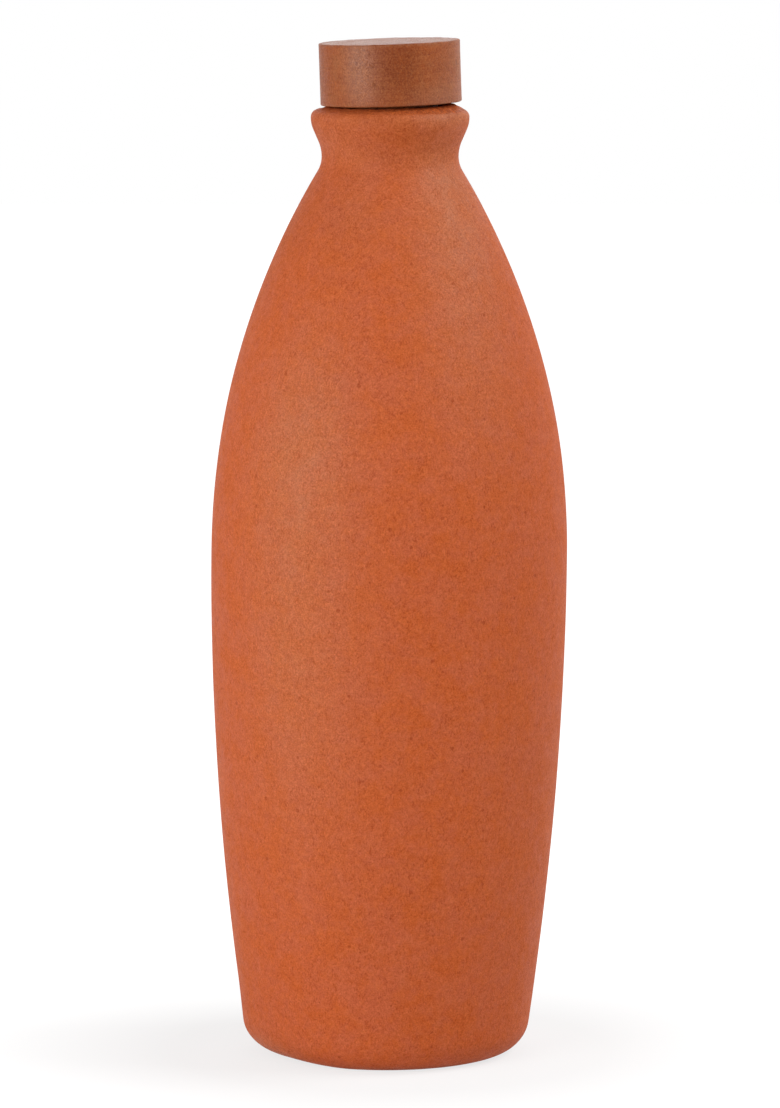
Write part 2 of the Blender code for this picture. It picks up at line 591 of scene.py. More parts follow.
@dataclass(frozen=True)
class ClayTexture:
    """The patterns of fired clay, from broad patches to single grains, and how they come up.

    A range whose name ends in clouds is the part of the clouds that its effect makes use of.
    """

    patches: Cloud = Cloud(110, 4, 0.75, used=(0.38, 0.62))
    clouds: Cloud = Cloud(230, 4, 0.65)
    bloom_clouds: Range = (0.46, 0.72)
    marked_clouds: Range = (0.3, 0.7)
    rough_clouds: Range = (0.35, 0.65)
    mottles: Cloud = Cloud(800, 2, 0.6)
    turned_lines: Cloud = Cloud(1900, 3, 0.7)
    turned_scale: Scale = (0.05, 0.05, 1)
    grains: Cloud = Cloud(2300, 3, 0.75)

    dashes: Cloud = Cloud(2600, 2, 0.6, used=(0.52, 0.64))
    dash_scale: Scale = (1, 1, 0.5)
    crowds: Cloud = Cloud(300, 2, 0.5, used=(0.35, 0.62))
    thinnest_crowd: float = 0.35
    grit_cells: float = 360
    gritty_cells: Range = (0.78, 1)
    grit_sizes: Range = (0.02, 0.24)
    grit_edge: float = 0.06

    # How unevenly the darkening with its painted shade shows, how unevenly the painted sheen shows,
    # and the mark at which the sheen's grain is strongest.
    uneven_stain_and_shade: Range = (0.6, 1.2)
    uneven_sheen_and_polish: Range = (1.3, 0.7)
    full_sheen_and_polish: float = 0.7
    ragged: Cloud = Cloud(700, 4, 0.7, used=(0.3, 0.7))
    raggedness: float = 0.4
    bared: Range = (0.35, 0.8)
    chips: Cloud = Cloud(1200, 5, 0.8, used=(0.46, 0.54))

    rough_spread: float = 0.07
    rougher_specks: float = 0.15
    speck_pits: float = 0.5
    grit_pits: float = 0.8
    relief_depth: float = 0.00009
    diffuse_roughness: float = 0.15


@dataclass(frozen=True)
class FiredClay:
    """Unglazed fired clay: mingled tones, fine open grain, dark specks, worn edges and chips, and
    painted sheen and shade where the mesh is marked.
    """

    name: str
    body: Colour
    second_tone: Colour
    bloom: Colour
    grit: Colour
    worn: Colour
    # Tone of chips, which on the bottle's rim also paints shade; a darker tone, which in places
    # paints shade; a pale tone that paints sheen and polished clay.
    chipped_and_shaded: Colour
    stained_and_shaded: Colour
    sheen_and_polish_tone: Colour
    roughness: float
    gloss: float
    bloom_share: float
    mottle: float
    grain_contrast: float
    speck_share: float
    # How strongly the darker tone, partly painted shade, and the pale painted sheen show.
    stain_share: float
    burnish_share: float
    tone_share: float = 0.6
    grit_share: float = 0.5
    # How strongly worn clay and chips show, with the rim's painted shade.
    worn_and_shaded_share: float = 0.85
    # How much smoother the clay is under the painted sheen, and how much stronger its grain shows
    # there.
    burnish_polish: float = 0.08
    sheen_grain_contrast: float = 1.42
    streaks: float = 0.017
    texture: ClayTexture = ClayTexture()

    def grain_tone(self) -> Colour:
        """The step from a dark grain to a light one, as even to the eye in red, green and blue."""
        return tuple(channel**EVEN_STEP for channel in self.body)

    def grain_steps(self, board: NodeBoard, grain: Socket) -> Socket:
        """How far each grain is from the clay's tone, further in the painted sheen, which the grain
        breaks up.

        Args:
            board: The material's board.
            grain: The grain's pattern.

        Returns:
            The step, less than 0 for a dark grain.
        """
        contrast = (-self.grain_contrast, self.grain_contrast)
        step = board.remap(grain, self.texture.grains.used, contrast)
        sheen_and_polish = board.marked(Mark.PAINTED_SHEEN_AND_POLISH)
        boost = board.remap(sheen_and_polish, (0, self.texture.full_sheen_and_polish), (1, self.sheen_grain_contrast))
        return board.times(step, boost)

    def tones(self, board: NodeBoard, where: Socket, clouds: Socket) -> Socket:
        """Mingles the body's colour with its second tone in patches, and a pale bloom in spots.

        Args:
            board: The material's board.
            where: The piece's own coordinates.
            clouds: The clay's clouds.

        Returns:
            The colour.
        """
        share = board.clouding(where, self.texture.patches, (0, self.tone_share))
        mingled = board.blend(share, self.body, self.second_tone)
        spots = board.remap(clouds, self.texture.bloom_clouds, (0, self.bloom_share))
        return board.blend(spots, mingled, self.bloom)

    def specks(self, board: NodeBoard, where: Socket) -> Socket:
        """Short upright dashes, close together, that leave the clay between them clean.

        Args:
            board: The material's board.
            where: The piece's own coordinates.

        Returns:
            How strongly a speck shows.
        """
        texture = self.texture
        each = board.clouding(board.scaled(where, texture.dash_scale), texture.dashes, (0, 1))
        crowd = board.clouding(where, texture.crowds, (texture.thinnest_crowd, 1))
        return board.times(each, crowd)

    def grits(self, board: NodeBoard, where: Socket) -> Socket:
        """Rare single grains of dark grit, each of its own size.

        Args:
            board: The material's board.
            where: The piece's own coordinates.

        Returns:
            How strongly a grain of grit shows.
        """
        texture = self.texture
        cells = board.cells(where, texture.grit_cells)
        split = board.nodes.new("ShaderNodeSeparateColor")
        board.links.new(cells.outputs["Color"], split.inputs["Color"])
        size = board.remap(split.outputs["Red"], texture.gritty_cells, texture.grit_sizes)
        inside = board.minus(size, cells.outputs["Distance"])
        return board.remap(inside, (0, texture.grit_edge), (0, 1))

    def stain(self, board: NodeBoard, colour: Socket, clouds: Socket) -> Socket:
        """Darkens the colour unevenly where the mesh is marked, which in places is painted shade.

        Args:
            board: The material's board.
            colour: The clay's colour.
            clouds: The clay's clouds.

        Returns:
            The darkened colour.
        """
        uneven = board.remap(clouds, self.texture.marked_clouds, self.texture.uneven_stain_and_shade)
        share = board.times(board.marked(Mark.STAIN_AND_SHADE), uneven)
        return board.blend(board.times(share, self.stain_share), colour, self.stained_and_shaded)

    def burnish(self, board: NodeBoard, colour: Socket, clouds: Socket) -> Socket:
        """Pales the colour unevenly where the mesh is marked: painted sheen in place of highlights,
        and polished clay.

        Args:
            board: The material's board.
            colour: The clay's colour.
            clouds: The clay's clouds.

        Returns:
            The paled colour.
        """
        uneven = board.remap(clouds, self.texture.marked_clouds, self.texture.uneven_sheen_and_polish)
        share = board.times(board.marked(Mark.PAINTED_SHEEN_AND_POLISH), uneven)
        return board.blend(board.times(share, self.burnish_share), colour, self.sheen_and_polish_tone)

    def wear(self, board: NodeBoard, colour: Socket, where: Socket) -> Socket:
        """Bares worn clay and darker chips where the mesh is marked, with a ragged border; on the
        bottle's rim the darker chips also paint shade.

        Args:
            board: The material's board.
            colour: The clay's colour.
            where: The piece's own coordinates.

        Returns:
            The colour with its worn places, chips and painted shade.
        """
        texture = self.texture
        ragged = board.clouding(where, texture.ragged, (-texture.raggedness, texture.raggedness))
        fringe = board.plus(board.marked(Mark.WEAR_AND_SHADE), ragged)
        chips = board.clouding(where, texture.chips, (0, 1))
        bared = board.blend(chips, self.worn, self.chipped_and_shaded)
        return board.blend(board.remap(fringe, texture.bared, (0, self.worn_and_shaded_share)), colour, bared)

    def skin(self, board: NodeBoard, clouds: Socket, specks: Socket) -> None:
        """Sets how rough and glossy the clay is.

        Args:
            board: The material's board.
            clouds: The clay's clouds.
            specks: Its specks.
        """
        texture = self.texture
        spread = (self.roughness - texture.rough_spread, self.roughness + texture.rough_spread)
        rough = board.remap(clouds, texture.rough_clouds, spread)
        rough = board.plus(rough, board.times(specks, texture.rougher_specks))
        # The clay is smoother where painted sheen is marked.
        sheen_and_polish = board.times(board.marked(Mark.PAINTED_SHEEN_AND_POLISH), self.burnish_polish)
        board.feed(board.shader.inputs["Roughness"], board.minus(rough, sheen_and_polish))
        board.shader.inputs["Diffuse Roughness"].default_value = texture.diffuse_roughness
        board.shader.inputs["Specular IOR Level"].default_value = self.gloss

    def material(self, axis: TurningAxis) -> bpy.types.Material:
        """Makes the clay for a piece.

        Args:
            axis: The axis that the piece is turned about.

        Returns:
            The material.
        """
        texture = self.texture
        board = NodeBoard(self.name)
        where = board.place(axis)
        clouds = board.noise(where, texture.clouds)
        grain = board.noise(where, texture.grains)
        specks = self.specks(board, where)
        grits = self.grits(board, where)

        colour = self.tones(board, where, clouds)
        # Darkening, which in places is painted shade, then the pale painted sheen.
        colour = self.stain(board, colour, clouds)
        colour = self.burnish(board, colour, clouds)
        mottles = board.clouding(where, texture.mottles, (-self.mottle, self.mottle))
        lines = board.scaled(where, texture.turned_scale)
        streaks = board.clouding(lines, texture.turned_lines, (-self.streaks, self.streaks))
        for steps in (mottles, streaks, self.grain_steps(board, grain)):
            colour = board.lift(colour, steps, self.grain_tone())
        for dark, share in ((specks, self.speck_share), (grits, self.grit_share)):
            colour = board.blend(board.times(dark, share), colour, self.grit)
        # Worn clay and chips, which on the bottle's rim also paint shade.
        board.feed(board.shader.inputs["Base Color"], self.wear(board, colour, where))

        self.skin(board, clouds, specks)
        pits = board.plus(
            board.times(specks, texture.speck_pits), board.times(grits, texture.grit_pits)
        )
        board.relief(board.minus(grain, pits), texture.relief_depth)
        return board.material


@dataclass(frozen=True)
class MilkySilicone:
    """Soft translucent rubber with a satin skin and a little clay dust on it."""

    name: str = "milky_silicone"
    body: Colour = (0.76, 0.72, 0.64)
    dust: Colour = (0.62, 0.34, 0.20)
    smears: Cloud = Cloud(260, 4, 0.6)
    dusty_smears: Range = (0.5, 0.75)
    dust_share: float = 0.35
    rough_smears: Range = (0.4, 0.7)
    roughness: Range = (0.42, 0.62)
    milkiness: float = 0.35
    glow_spread: Colour = (1.0, 0.8, 0.6)
    glow_reach: float = 0.0012
    dimples: Cloud = Cloud(1800, 2, 0.6)
    dimple_depth: float = 0.00001

    def material(self, axis: TurningAxis) -> bpy.types.Material:
        """Makes the rubber for a ring.

        Args:
            axis: The axis that the ring is turned about.

        Returns:
            The material.
        """
        board = NodeBoard(self.name)
        where = board.place(axis)
        smears = board.noise(where, self.smears)
        dusty = board.remap(smears, self.dusty_smears, (0, self.dust_share))
        board.feed(board.shader.inputs["Base Color"], board.blend(dusty, self.body, self.dust))
        rough = board.remap(smears, self.rough_smears, self.roughness)
        board.feed(board.shader.inputs["Roughness"], rough)
        board.shader.inputs["Subsurface Weight"].default_value = self.milkiness
        board.shader.inputs["Subsurface Radius"].default_value = self.glow_spread
        board.shader.inputs["Subsurface Scale"].default_value = self.glow_reach
        board.relief(board.noise(where, self.dimples), self.dimple_depth)
        return board.material


# Pieces


@dataclass(frozen=True)
class Touch:
    """A patch on the clay that is strongest at its middle, used for painted sheen, painted shade
    and the rim's chips.

    Azimuth is in degrees from the camera's side round to the right, and so is the spread. Height
    and reach are in metres.
    """

    azimuth: float
    height: float
    spread: float
    reach: float
    strength: float

    def felt(self, place: Vector) -> float:
        """How strongly the touch shows at a place on the wall.

        Args:
            place: The place.

        Returns:
            The touch's strength there.
        """
        aside = turn_between(azimuth(place), self.azimuth) / self.spread
        above = (place.z - self.height) / self.reach
        return self.strength * math.exp(-(aside**2 + above**2) / 2)


@dataclass
class ClayBottle:
    """The thrown bottle: foot, belly, shoulder, waist and flared lip in one wall round a hollow."""

    belly_radius: float = 0.04867
    belly_height: float = 0.1380
    base_radius: float = 0.03795
    foot_round: float = 0.0095
    waist_radius: float = 0.01862
    waist_height: float = 0.2464
    waist_round: float = 0.0077
    flare_round: float = 0.0105
    flare_angle: float = math.radians(23.5)
    lip_radius: float = 0.02155
    lip_band: float = 0.0034
    lip_under_round: float = 0.0083
    lip_top_round: float = 0.0021
    rim_slope: float = math.radians(15.0)
    rim_round: float = 0.0020
    mouth_radius: float = 0.0145
    throat_height: float = 0.2410
    throat_round: float = 0.0080
    wall: float = 0.0050
    floor: float = 0.0065
    floor_round: float = 0.0120
    dish_radius: float = 0.0235
    dish_depth: float = 0.0012

    steps: int = 200
    outside_pen: Outliner = Outliner()
    inside_pen: Outliner = Outliner(longest_step=0.0032)
    lip_pen: Outliner = Outliner(longest_step=0.0005)
    seen_pen: Outliner = Outliner(longest_step=0.0016)

    foot_drift: float = -0.00095
    foot_drift_reach: float = 0.18
    foot_drift_height: float = 0.02
    crest_drop: float = 0.0004
    crest_width: float = 0.0012
    rim_tilt: float = math.radians(1.25)
    rim_tilt_reach: float = 0.0035
    foot_edge_height: float = 0.003
    foot_edge_radius: float = 0.028
    worn_side: float = -68.0
    worn_spread: float = 14.0
    worn_shift: Corner = (-0.0006, 0.0002, 0.0009)
    worn_reach: float = 0.019
    wave_start: float = 0.004
    wave_fade: float = 0.02
    wave_size: float = 0.035
    wave_depth: float = 0.00016
    nick_drop: float = 0.0022
    nick_start: float = 0.0005
    nick_fade: float = 0.0009
    nick_size: float = 0.0011
    nick_depth: float = 0.00042
    nick_inwards: float = 0.64

    # The rim's chips, with their painted shade under the stopper, are strongest on the right.
    chipped_and_shaded_side: Touch = Touch(70.0, 0.2585, 60.0, 0.010, 1.0)
    least_chipped_and_shaded: float = 0.3
    # Heights over which the wall turns darker up to the waist, and patches of painted shade below.
    darker_heights: Range = (0.236, 0.248)
    shade_patches: tuple[Touch, ...] = (
        Touch(-45.0, 0.235, 38.0, 0.010, 0.50),
        Touch(74.0, 0.060, 20.0, 0.042, 0.55),
        Touch(-80.0, 0.230, 18.0, 0.018, 0.60),
    )
    # Spots of paler painted sheen in place of highlights.
    sheen_spots: tuple[Touch, ...] = (
        Touch(-32.0, 0.174, 14.0, 0.019, 0.75),
        Touch(-32.0, 0.122, 15.0, 0.038, 0.75),
        Touch(36.0, 0.227, 19.0, 0.019, 0.72),
        Touch(30.0, 0.192, 14.0, 0.020, 0.40),
        Touch(62.0, 0.237, 22.0, 0.012, 0.55),
        Touch(58.0, 0.2420, 24.0, 0.005, 0.30),
        Touch(-20.0, 0.236, 16.0, 0.010, 0.30),
        Touch(-50.0, 0.2515, 28.0, 0.0055, 0.40),
        Touch(-20.0, 0.2585, 40.0, 0.0020, 0.15),
        Touch(60.0, 0.2587, 36.0, 0.0021, 1.00),
        Touch(-64.0, 0.0028, 14.0, 0.0034, 0.75),
        Touch(148.0, 0.170, 24.0, 0.030, 0.60),
    )
    rubbed_height: float = 0.004
    rubbed_radius: float = 0.034
    rubbed_fade: float = 0.005

    def face(
        self,
        pen: Outliner,
        radius: float,
        sweep: float,
        floor: float,
        floor_round: float,
        neck: Corner,
    ) -> list[Vector]:
        """Draws one face of the wall from the floor's flat up to the neck.

        Args:
            pen: Draws its arcs.
            radius: Radius at the belly.
            sweep: Radius of the long arc below the belly.
            floor: Height of the floor's flat.
            floor_round: Rounding from the flat into the wall.
            neck: Radius, height and rounding where the face turns upright again.

        Returns:
            The face's points.
        """
        neck_radius, neck_height, neck_round = neck
        belly = Vector((radius, self.belly_height))
        lower_centre = belly - Vector((sweep, 0))
        rise = self.belly_height - floor - floor_round
        inset = math.sqrt((sweep - floor_round) ** 2 - rise**2)
        corner_centre = Vector((lower_centre.x + inset, floor + floor_round))
        flat_end = corner_centre - Vector((0, floor_round))
        corner_end = lower_centre + (corner_centre - lower_centre).normalized() * sweep

        narrowing = radius - neck_radius
        height = neck_height - self.belly_height
        upper_sweep = (narrowing - neck_round) ** 2 - neck_round**2 + height**2
        upper_sweep /= 2 * narrowing
        upper_centre = belly - Vector((upper_sweep, 0))
        neck_centre = Vector((neck_radius + neck_round, neck_height))
        touch = upper_centre + (neck_centre - upper_centre).normalized() * upper_sweep
        top = Vector((neck_radius, neck_height))
        return (
            pen.arc(corner_centre, flat_end, corner_end)
            + pen.arc(lower_centre, corner_end, belly)[1:]
            + pen.arc(upper_centre, belly, touch)[1:]
            + pen.arc(neck_centre, touch, top)[1:]
        )

    def lip(self) -> list[Vector]:
        """Draws the lip from the waist up over the rim and down to the throat.

        Returns:
            The lip's points.
        """
        flare_start = self.waist_height + self.flare_round * math.tan(self.flare_angle / 2)
        flare_width = self.lip_radius - self.waist_radius
        band_start = flare_start + flare_width / math.tan(self.flare_angle)
        band_end = band_start + self.lip_band
        rim = band_end + (self.lip_radius - self.mouth_radius) * math.tan(self.rim_slope)
        return self.lip_pen.rounded([
            (self.waist_radius, self.waist_height, 0),
            (self.waist_radius, flare_start, self.flare_round),
            (self.lip_radius, band_start, self.lip_under_round),
            (self.lip_radius, band_end, self.lip_top_round),
            (self.mouth_radius, rim, self.rim_round),
            (self.mouth_radius, self.throat_height, 0),
        ])

    @cached_property
    def crest(self) -> Vector:
        """The radius and height of the lip's highest point."""
        return max(self.lip(), key=lambda point: point.y)

    def profile(self) -> list[Vector]:
        """Draws the half section from the middle of the inner floor to the middle underneath.

        Returns:
            The half section's points.
        """
        drop = self.belly_radius - self.base_radius
        sweep = (drop**2 + self.belly_height**2) / (2 * drop)
        outside = self.face(
            self.outside_pen,
            self.belly_radius,
            sweep,
            0,
            self.foot_round,
            (self.waist_radius, self.waist_height, self.waist_round),
        )
        inside = self.face(
            self.inside_pen,
            self.belly_radius - self.wall,
            sweep - self.wall,
            self.floor,
            self.floor_round,
            (self.mouth_radius, self.throat_height, self.throat_round),
        )
        dish_sweep = (self.dish_radius**2 + self.dish_depth**2) / (2 * self.dish_depth)
        dish_centre = Vector((0, self.dish_depth - dish_sweep))
        dish_edge = Vector((self.dish_radius, 0))
        dish = self.outside_pen.arc(dish_centre, dish_edge, Vector((0, self.dish_depth)))
        down_the_lip = self.lip()[-2::-1]
        down_the_outside = outside[-2::-1]
        middle = Vector((0, self.floor))
        return [middle] + inside + self.seen_pen.split(down_the_lip + down_the_outside + dish)

    def build(self) -> Piece:
        """Turns the bottle, gives it its handmade unevenness and marks its finish: chips, darkening
        and polished clay, with painted shade and sheen among them.

        Returns:
            The bottle.
        """
        piece = Workbench.turn("thrown_bottle", self.profile(), UPRIGHT, self.steps)
        self.lean(piece)
        self.wear_foot(piece)
        self.raise_rim(piece)
        Workbench.mark(piece, Mark.WEAR_AND_SHADE, self.chipping_and_shade)
        Workbench.mark(piece, Mark.STAIN_AND_SHADE, self.darken)
        Workbench.mark(piece, Mark.PAINTED_SHEEN_AND_POLISH, self.sheen_and_polish)
        self.roughen(piece)
        return piece

    def lean(self, piece: Piece) -> None:
        """Moves the foot aside and lets the wall follow it less and less up to the shoulder.

        Args:
            piece: The turned bottle.
        """
        Workbench.select_where(piece, lambda place: place.z < self.foot_drift_height)
        with Workbench.editing(piece):
            bpy.ops.transform.translate(
                value=(self.foot_drift, 0, 0),
                use_proportional_edit=True,
                proportional_edit_falloff="SMOOTH",
                proportional_size=self.foot_drift_reach,
            )

    def on_worn_edge(self, place: Vector) -> bool:
        """Whether a place is on the foot's lowest edge near the worn side.

        Args:
            place: A place on the bottle.

        Returns:
            True if it is.
        """
        outwards = math.hypot(place.x, place.y)
        on_edge = place.z < self.foot_edge_height and outwards > self.foot_edge_radius
        return on_edge and abs(turn_between(azimuth(place), self.worn_side)) < self.worn_spread

    def wear_foot(self, piece: Piece) -> None:
        """Lifts and draws in the foot's rounded edge at the front left, where it is worn.

        Args:
            piece: The turned bottle.
        """
        Workbench.select_where(piece, self.on_worn_edge)
        with Workbench.editing(piece):
            bpy.ops.transform.translate(
                value=self.worn_shift,
                use_proportional_edit=True,
                use_proportional_connected=True,
                proportional_edit_falloff="SMOOTH",
                proportional_size=self.worn_reach,
            )

    def on_crest(self, place: Vector) -> bool:
        """Whether a place is on the rim's highest band.

        Args:
            place: A place on the bottle.

        Returns:
            True if it is.
        """
        aside = abs(math.hypot(place.x, place.y) - self.crest.x)
        return place.z > self.crest.y - self.crest_drop and aside < self.crest_width

    def raise_rim(self, piece: Piece) -> None:
        """Tilts the rim about its left side, so that it is higher on the right.

        Args:
            piece: The turned bottle.
        """
        Workbench.select_where(piece, self.on_crest)
        with Workbench.editing(piece):
            bpy.ops.transform.rotate(
                value=self.rim_tilt,
                orient_axis="Y",
                center_override=(-self.crest.x, 0, self.crest.y),
                use_proportional_edit=True,
                proportional_edit_falloff="SMOOTH",
                proportional_size=self.rim_tilt_reach,
            )

    def wall_share(self, place: Vector) -> float:
        """How much of the wall's waves a place gets: full outside, none on the foot and the lip.

        Args:
            place: A place on the bottle.

        Returns:
            The share, from 0 to 1.
        """
        if math.hypot(place.x, place.y) < self.waist_radius - self.wall / 2:
            return 0.0
        above_foot = clamped((place.z - self.wave_start) / self.wave_fade)
        below_lip = clamped((self.waist_height - place.z) / self.wave_fade)
        return above_foot * below_lip

    def rim_share(self, place: Vector) -> float:
        """How much of the rim's nicks a place gets: full on the crest, none at the lip's widest.

        Args:
            place: A place on the bottle.

        Returns:
            The share, from 0 to 1.
        """
        if place.z < self.crest.y - self.nick_drop:
            return 0.0
        inwards = self.lip_radius - math.hypot(place.x, place.y)
        return clamped((inwards - self.nick_start) / self.nick_fade)

    def roughen(self, piece: Piece) -> None:
        """Makes the wall faintly wavy and nicks the rim.

        Args:
            piece: The turned bottle.
        """
        Workbench.weigh(piece, "wall_waves", self.wall_share)
        Workbench.weigh(piece, "rim_nicks", self.rim_share)
        Workbench.roughen(piece, "wall_waves", self.wave_size, self.wave_depth)
        Workbench.roughen(
            piece, "rim_nicks", self.nick_size, self.nick_depth, inwards=self.nick_inwards
        )

    def chipping_and_shade(self, place: Vector) -> float:
        """How much a place shows chips, whose darker tone also paints the shade under the stopper:
        only on the rim, most on its right and least on its left.
        """
        side = self.least_chipped_and_shaded + (1 - self.least_chipped_and_shaded) * self.chipped_and_shaded_side.felt(place)
        return self.rim_share(place) * side

    def darken(self, place: Vector) -> float:
        """How much darker the wall is: full from the waist up, and in patches of painted shade
        below.

        Args:
            place: A place on the bottle.

        Returns:
            How strongly the wall is darkened.
        """
        low, high = self.darker_heights
        neck = clamped((place.z - low) / (high - low))
        return max(neck, sum(shade_patch.felt(place) for shade_patch in self.shade_patches))

    def sheen_and_polish(self, place: Vector) -> float:
        """How much paler painted sheen the clay has, in spots in place of highlights, and how
        polished the standing ring is by the tables that it rubs on.

        Args:
            place: A place on the bottle.

        Returns:
            The strength of the painted sheen and the polishing.
        """
        # Painted sheen of the spots.
        held = sum(sheen_spot.felt(place) for sheen_spot in self.sheen_spots)
        outwards = math.hypot(place.x - self.foot_drift, place.y)
        if place.z > self.rubbed_height or outwards < self.dish_radius:
            return held
        return max(held, clamped((self.rubbed_radius - outwards) / self.rubbed_fade))

    def dress(self, piece: Piece, finish: FiredClay) -> None:
        """Gives the bottle its clay and hangs it on its body in place of the plain solid.

        Args:
            piece: The finished bottle.
            finish: Its clay.
        """
        piece.data.materials.append(finish.material(UPRIGHT))
        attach(piece, Body.BOTTLE.value)
        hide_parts("bottle_body")


@dataclass
class ClayStopper:
    """The flat round head with its stem and the two grooves that hold the seal rings."""

    axis: TurningAxis
    head_radius: float = 0.01918
    head_height: float = 0.0168
    top_round: float = 0.0004
    under_round: float = 0.0004
    stem_radius: float = 0.012627
    stem_length: float = 0.0170
    stem_round: float = 0.0015
    stem_fillet: float = 0.0006
    groove_radius: float = 0.010627
    groove_half: float = 0.0016
    groove_edge: float = 0.0002
    ring_depths: Range = (0.0050, 0.0110)

    steps: int = 160
    pen: Outliner = Outliner(chord_error=0.00001, longest_step=0.0009)

    edge_reach: float = 0.001
    edge_core: float = 1.4
    least_worn: float = 0.25
    bared_above: float = 0.4
    dent_size: float = 0.0022
    dent_depth: float = 0.00016

    # Darker bands up the head's side, one facing the camera, weaker towards the head's foot.
    dark_sides: tuple[float, ...] = (4.0, 130.0, 235.0)
    dark_side_spread: float = 17.0
    dark_side_core: float = 1.6
    darkness_at_foot: float = 0.45
    darkness_rise: float = 1.6
    # Painted shade on the head's left edge.
    shade_patch: Touch = Touch(-84.0, 0.2690, 17.0, 0.020, 0.75)
    # Spots of paler painted sheen in place of highlights.
    sheen_spots: tuple[Touch, ...] = (
        Touch(-27.0, 0.2730, 10.0, 0.0090, 1.1),
        Touch(54.0, 0.2690, 20.0, 0.0120, 0.18),
        Touch(40.0, 0.2620, 20.0, 0.0030, 0.50),
        Touch(96.0, 0.2720, 14.0, 0.0060, 0.5),
        Touch(190.0, 0.2740, 12.0, 0.0060, 0.8),
    )
    # The top's painted sheen, and its darker tone.
    top_fade: float = 0.0015
    top_sheen_and_polish: float = 0.55
    top_stain: float = 0.8

    @cached_property
    def to_axis(self) -> Matrix:
        """Takes a place in the scene to one that is seen from the stopper's axis."""
        return self.axis.matrix().inverted()

    def profile(self) -> list[Vector]:
        """Draws the half section from the middle of the top to the middle of the stem's end.

        Returns:
            The half section's points.
        """
        corners = [
            (0, self.head_height, 0),
            (self.head_radius, self.head_height, self.top_round),
            (self.head_radius, 0, self.under_round),
            (self.stem_radius, 0, self.stem_fillet),
        ]
        for depth in self.ring_depths:
            top, bottom = self.groove_half - depth, -self.groove_half - depth
            corners += [
                (self.stem_radius, top, self.groove_edge),
                (self.groove_radius, top, self.groove_edge),
                (self.groove_radius, bottom, self.groove_edge),
                (self.stem_radius, bottom, self.groove_edge),
            ]
        corners += [
            (self.stem_radius, -self.stem_length, self.stem_round),
            (0, -self.stem_length, 0),
        ]
        return self.pen.rounded(corners)

    def build(self) -> Piece:
        """Turns the stopper about its leaning axis, marks its finish, with painted sheen and shade
        among the marks, and dents its edges.

        Returns:
            The stopper.
        """
        piece = Workbench.turn("clay_stopper", self.profile(), self.axis, self.steps)
        Workbench.mark(piece, Mark.WEAR_AND_SHADE, self.rubbing)
        Workbench.mark(piece, Mark.STAIN_AND_SHADE, self.darken)
        Workbench.mark(piece, Mark.PAINTED_SHEEN_AND_POLISH, self.sheen_and_polish)
        Workbench.weigh(piece, "worn_edges", self.edge_share)
        Workbench.roughen(piece, "worn_edges", self.dent_size, self.dent_depth)
        return piece

    def edge_share(self, place: Vector) -> float:
        """How worn the head is: full on its two edges, little on its side and top.

        Args:
            place: A place on the stopper.

        Returns:
            The share, from 0 to 1, with 0 all down the stem.
        """
        local = self.to_axis @ place
        if local.z < -self.under_round:
            return 0.0
        inwards = self.head_radius - math.hypot(local.x, local.y)
        to_under_edge = math.hypot(inwards, local.z)
        to_top_edge = math.hypot(inwards, self.head_height - local.z)
        near = clamped(self.edge_core - min(to_under_edge, to_top_edge) / self.edge_reach)
        return self.least_worn + (1 - self.least_worn) * near

    def rubbing(self, place: Vector) -> float:
        """How bared the clay is, which is only close to the head's two edges."""
        return max(0.0, self.edge_share(place) - self.bared_above)

    def on_top(self, place: Vector) -> float:
        """How far in a place is on the head's top.

        Args:
            place: A place on the stopper.

        Returns:
            The share, full from near the top's edge and none on the head's side.
        """
        local = self.to_axis @ place
        if local.z < self.head_height - 2 * self.top_round:
            return 0.0
        inwards = self.head_radius - math.hypot(local.x, local.y)
        return clamped(inwards / self.top_fade)

    def sheen_and_polish(self, place: Vector) -> float:
        """How much painted sheen the head has, paler and smoother: in spots on its side in place of
        highlights, evenly on its top.

        Args:
            place: A place on the stopper.

        Returns:
            The strength of the painted sheen.
        """
        top = self.on_top(place)
        side = sum(sheen_spot.felt(place) for sheen_spot in self.sheen_spots)
        return top * self.top_sheen_and_polish + (1 - top) * side

    def darken(self, place: Vector) -> float:
        """How much darker the head is: in three bands up its side, one of them facing the camera,
        in a patch of painted shade on its left, and evenly on its top.

        Args:
            place: A place on the stopper.

        Returns:
            How strongly the head is darkened.
        """
        offset = place - self.axis.foot
        if offset.z < 0:
            return 0.0
        nearest = min(abs(turn_between(azimuth(offset), dark_side)) for dark_side in self.dark_sides)
        rise = min(1.0, self.darkness_rise * offset.z / self.head_height)
        fade = self.darkness_at_foot + (1 - self.darkness_at_foot) * rise
        banded = fade * clamped(self.dark_side_core - nearest / self.dark_side_spread)
        top = self.on_top(place)
        side = max(banded, self.shade_patch.felt(place))
        return top * self.top_stain + (1 - top) * side

    def dress(self, piece: Piece, finish: FiredClay) -> None:
        """Gives the stopper its clay and hangs it on its body in place of the plain solid.

        Args:
            piece: The finished stopper.
            finish: Its clay.
        """
        piece.data.materials.append(finish.material(self.axis))
        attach(piece, Body.STOPPER.value)
        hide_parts("stopper")


